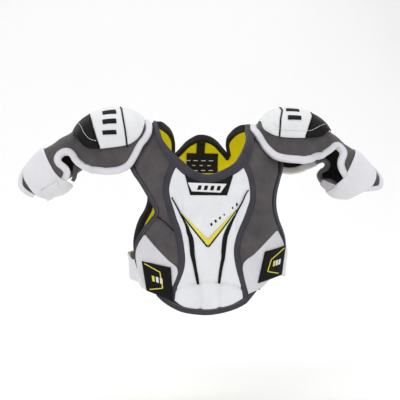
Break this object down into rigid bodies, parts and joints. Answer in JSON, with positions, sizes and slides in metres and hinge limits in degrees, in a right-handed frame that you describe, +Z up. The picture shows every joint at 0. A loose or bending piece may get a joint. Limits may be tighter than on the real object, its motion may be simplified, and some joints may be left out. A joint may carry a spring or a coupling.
{
  "type": "hockey shoulder pads",
  "caption": "Youth hockey shoulder pads: chest and back bibs, shoulder yokes, lifting shoulder caps, swinging arm guards with elastic bands, side straps with hook tabs.",
  "frame": {"origin": "middle of the neck opening, level with the top of the shoulders, where the pads hang on the wearer", "axes": "+X to the wearer's left along the shoulders, +Y to the wearer's back, +Z up"},
  "size_m": [0.5592, 0.1735, 0.3015],
  "materials": {
    "grey_fabric": "woven polyester over foam, matt",
    "binding_tape": "folded knit tape, matt",
    "binding_white": "folded knit tape, matt",
    "foam": "closed-cell foam",
    "inner_plastic": "moulded sheet",
    "yellow_lining": "brushed mesh lining",
    "white_synthetic": "coated synthetic leather, satin",
    "black_synthetic": "coated synthetic leather, satin",
    "badge_white": "soft moulded badge",
    "loop_white": "brushed loop fabric",
    "label_black": "woven label",
    "elastic_white": "ribbed woven elastic",
    "elastic_beige": "ribbed woven elastic",
    "hook_tab_black": "moulded soft tab",
    "cap_white": "moulded cap with a satin cover",
    "black_mesh": "brushed mesh lining"
  },
  "bodies": {
    "torso": {"left_chest_cover": "grey_fabric", "right_chest_cover": "grey_fabric", "left_chest_foam": "foam", "right_chest_foam": "foam", "left_chest_liner": "yellow_lining", "right_chest_liner": "yellow_lining", "sternum_panel": "white_synthetic", "sternum_plate": "inner_plastic", "sternum_liner": "yellow_lining", "left_sternum_binding": "binding_tape", "right_sternum_binding": "binding_tape", "chest_patch": "black_synthetic", "chest_badge": "badge_white", "neck_binding": "binding_tape", "front_hem_binding": "binding_tape", "left_armhole_binding": "binding_tape", "right_armhole_binding": "binding_tape", "left_loop_panel": "loop_white", "right_loop_panel": "loop_white", "back_cover": "grey_fabric", "back_foam": "foam", "back_liner": "yellow_lining", "spine_pad": "white_synthetic", "back_neck_binding": "binding_tape", "back_hem_binding": "binding_tape", "left_back_binding": "binding_tape", "right_back_binding": "binding_tape", "inner_label": "label_black", "label_tape": "label_black", "left_yoke": "grey_fabric", "right_yoke": "grey_fabric", "left_yoke_liner": "yellow_lining", "right_yoke_liner": "yellow_lining", "left_strap_anchor": "elastic_beige", "right_strap_anchor": "elastic_beige"},
    "left_strap": {"left_side_elastic": "elastic_white", "left_hook_tab": "hook_tab_black"},
    "left_cap": {"left_cap_shell": "cap_white", "left_cap_skirt": "grey_fabric", "left_cap_binding": "binding_white", "left_arm_bridge": "grey_fabric"},
    "left_arm": {"left_guard_pad": "grey_fabric", "left_guard_liner": "black_mesh", "left_arm_elastic": "elastic_white", "left_cuff_binding": "binding_white"},
    "left_tab": {"left_arm_tab": "elastic_beige"},
    "right_strap": {"right_side_elastic": "elastic_white", "right_hook_tab": "hook_tab_black"},
    "right_cap": {"right_cap_shell": "cap_white", "right_cap_skirt": "grey_fabric", "right_cap_binding": "binding_white", "right_arm_bridge": "grey_fabric"},
    "right_arm": {"right_guard_pad": "grey_fabric", "right_guard_liner": "black_mesh", "right_arm_elastic": "elastic_white", "right_cuff_binding": "binding_white"},
    "right_tab": {"right_arm_tab": "elastic_beige"}
  },
  "joints": [
    {"name": "right_strap_open", "type": "hinge", "parent": "torso", "child": "right_strap", "pos_m": [-0.0975, 0.0575, -0.212], "axis": [0, 0, -1], "range_deg": [0, 75]},
    {"name": "right_cap_lift", "type": "hinge", "parent": "torso", "child": "right_cap", "pos_m": [-0.074, 0, 0.002], "axis": [0, 1, 0], "range_deg": [0, 28]},
    {"name": "right_arm_swing", "type": "hinge", "parent": "right_cap", "child": "right_arm", "pos_m": [-0.207, 0, -0.024], "axis": [0, 1, 0], "range_deg": [-30, 20]},
    {"name": "right_tab_peel", "type": "hinge", "parent": "right_arm", "child": "right_tab", "pos_m": [-0.21084, -0.01143, -0.09403], "axis": [0.8572, 0, 0.515], "range_deg": [0, 60]},
    {"name": "left_strap_open", "type": "hinge", "parent": "torso", "child": "left_strap", "pos_m": [0.0975, 0.0575, -0.212], "axis": [0, 0, 1], "range_deg": [0, 75]},
    {"name": "left_cap_lift", "type": "hinge", "parent": "torso", "child": "left_cap", "pos_m": [0.074, 0, 0.002], "axis": [0, -1, 0], "range_deg": [0, 28]},
    {"name": "left_arm_swing", "type": "hinge", "parent": "left_cap", "child": "left_arm", "pos_m": [0.207, 0, -0.024], "axis": [0, -1, 0], "range_deg": [-30, 20]},
    {"name": "left_tab_peel", "type": "hinge", "parent": "left_arm", "child": "left_tab", "pos_m": [0.20957, -0.02112, -0.0911], "axis": [0.809, 0, -0.5878], "range_deg": [0, 60]}
  ]
}
